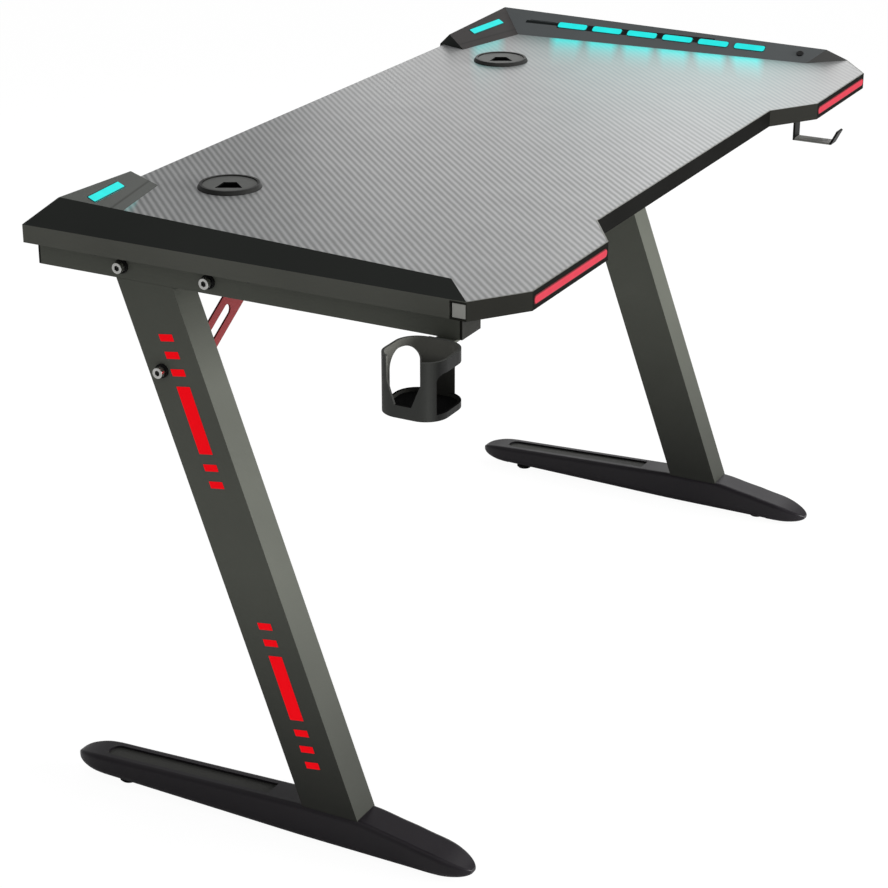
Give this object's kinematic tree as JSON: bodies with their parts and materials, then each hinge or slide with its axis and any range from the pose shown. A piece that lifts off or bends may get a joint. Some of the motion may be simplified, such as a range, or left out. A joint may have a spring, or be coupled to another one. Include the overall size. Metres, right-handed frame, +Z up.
{
  "type": "gaming desk",
  "caption": "Gaming desk on slanted legs with long feet, lit side trims and corner pods, red front light bars, turning cable grommets, a cup holder and a headset hook.",
  "frame": {"origin": "on the floor under the middle of the tabletop, at rest height", "axes": "+X to the user's right along the long side, +Y to the back, +Z up"},
  "size_m": [1.2785, 0.6273, 0.7565],
  "materials": {
    "laminate": "satin, fine slanted stripes",
    "board": "raw particle board",
    "edge_band": "satin",
    "plug_grey": "satin",
    "trim_plastic": "satin",
    "cyan_lens": "lit",
    "red_lens": "lit",
    "led_strip": "matte",
    "button_plastic": "satin",
    "grommet_plastic": "satin",
    "frame_paint": "fine powder coat",
    "cap_plastic": "satin",
    "red_paint": "powder coat",
    "red_film": "satin film",
    "bright_steel": "zinc plated",
    "foot_plastic": "satin",
    "pad_plastic": "matte",
    "case_plastic": "matte",
    "circuit": "solder mask",
    "cable_sheath": "matte",
    "cup_plastic": "satin",
    "hook_paint": "powder coat"
  },
  "bodies": {
    "desk": {"bar_led_strips": "led_strip", "bar_light_lenses": "red_lens", "bolt_collars": "cap_plastic", "cable_clips": "case_plastic", "circuit_board": "circuit", "controller_case": "case_plastic", "controller_cover": "case_plastic", "controller_screws": "bright_steel", "crossbeam": "frame_paint", "cup_bracket": "frame_paint", "cup_holder": "cup_plastic", "cup_screws": "bright_steel", "desktop_board": "board", "desktop_laminate": "laminate", "edge_bands": "edge_band", "edge_plugs": "plug_grey", "foot_bolts": "bright_steel", "frame_bolts": "bright_steel", "frame_nuts": "bright_steel", "frame_screws": "bright_steel", "headset_hook": "hook_paint", "hook_screws": "bright_steel", "left_brace": "red_paint", "left_corner_pod": "trim_plastic", "left_foot_bar": "frame_paint", "left_foot_cover": "foot_plastic", "left_grommet_ring": "grommet_plastic", "left_leg_column": "frame_paint", "left_leg_stripes": "red_film", "left_side_trim": "trim_plastic", "left_top_rail": "frame_paint", "left_trim_lenses": "cyan_lens", "light_cables": "cable_sheath", "light_switch": "button_plastic", "pod_lenses": "cyan_lens", "power_inlet": "case_plastic", "rail_end_caps": "cap_plastic", "right_brace": "red_paint", "right_corner_pod": "trim_plastic", "right_foot_bar": "frame_paint", "right_foot_cover": "foot_plastic", "right_grommet_ring": "grommet_plastic", "right_leg_column": "frame_paint", "right_leg_stripes": "red_film", "right_side_trim": "trim_plastic", "right_top_rail": "frame_paint", "right_trim_lenses": "cyan_lens", "trim_led_strips": "led_strip", "trim_screws": "bright_steel"},
    "left_grommet_cap": {"left_grommet_cap": "grommet_plastic"},
    "right_grommet_cap": {"right_grommet_cap": "grommet_plastic"},
    "light_button": {"light_button": "button_plastic"},
    "left_front_pad": {"left_front_glide_pad": "pad_plastic"},
    "left_front_stud": {"left_front_glide_stud": "bright_steel"},
    "right_front_pad": {"right_front_glide_pad": "pad_plastic"},
    "right_front_stud": {"right_front_glide_stud": "bright_steel"},
    "left_back_pad": {"left_back_glide_pad": "pad_plastic"},
    "left_back_stud": {"left_back_glide_stud": "bright_steel"},
    "right_back_pad": {"right_back_glide_pad": "pad_plastic"},
    "right_back_stud": {"right_back_glide_stud": "bright_steel"}
  },
  "joints": [
    {"name": "left_grommet_turn", "type": "hinge", "parent": "desk", "child": "left_grommet_cap", "pos_m": [-0.362, 0.185, 0.727], "axis": [0, 0, 1], "continuous": true},
    {"name": "right_grommet_turn", "type": "hinge", "parent": "desk", "child": "right_grommet_cap", "pos_m": [0.362, 0.185, 0.727], "axis": [0, 0, 1], "continuous": true},
    {"name": "light_button_press", "type": "slide", "parent": "desk", "child": "light_button", "axis": [0.5102, 0.0338, -0.8594], "range_m": [0, 0.0015], "stiffness_N_per_m": 800, "springref_m": -0.001},
    {"name": "left_front_glide_drop", "type": "slide", "parent": "desk", "child": "left_front_pad", "axis": [0, 0, -1], "range_m": [0, 0.01]},
    {"name": "left_front_glide_turn", "type": "hinge", "parent": "left_front_pad", "child": "left_front_stud", "pos_m": [-0.5635, -0.172, 0], "axis": [0, 0, -1], "range_deg": [0, 2880]},
    {"name": "right_front_glide_drop", "type": "slide", "parent": "desk", "child": "right_front_pad", "axis": [0, 0, -1], "range_m": [0, 0.01]},
    {"name": "right_front_glide_turn", "type": "hinge", "parent": "right_front_pad", "child": "right_front_stud", "pos_m": [0.5635, -0.172, 0], "axis": [0, 0, -1], "range_deg": [0, 2880]},
    {"name": "left_back_glide_drop", "type": "slide", "parent": "desk", "child": "left_back_pad", "axis": [0, 0, -1], "range_m": [0, 0.01]},
    {"name": "left_back_glide_turn", "type": "hinge", "parent": "left_back_pad", "child": "left_back_stud", "pos_m": [-0.5635, 0.235, 0], "axis": [0, 0, -1], "range_deg": [0, 2880]},
    {"name": "right_back_glide_drop", "type": "slide", "parent": "desk", "child": "right_back_pad", "axis": [0, 0, -1], "range_m": [0, 0.01]},
    {"name": "right_back_glide_turn", "type": "hinge", "parent": "right_back_pad", "child": "right_back_stud", "pos_m": [0.5635, 0.235, 0], "axis": [0, 0, -1], "range_deg": [0, 2880]}
  ],
  "couplings": [
    {"joint": "left_front_glide_turn", "follows": "left_front_glide_drop", "rad_per_m": 5026.5},
    {"joint": "right_front_glide_turn", "follows": "right_front_glide_drop", "rad_per_m": 5026.5},
    {"joint": "left_back_glide_turn", "follows": "left_back_glide_drop", "rad_per_m": 5026.5},
    {"joint": "right_back_glide_turn", "follows": "right_back_glide_drop", "rad_per_m": 5026.5}
  ]
}
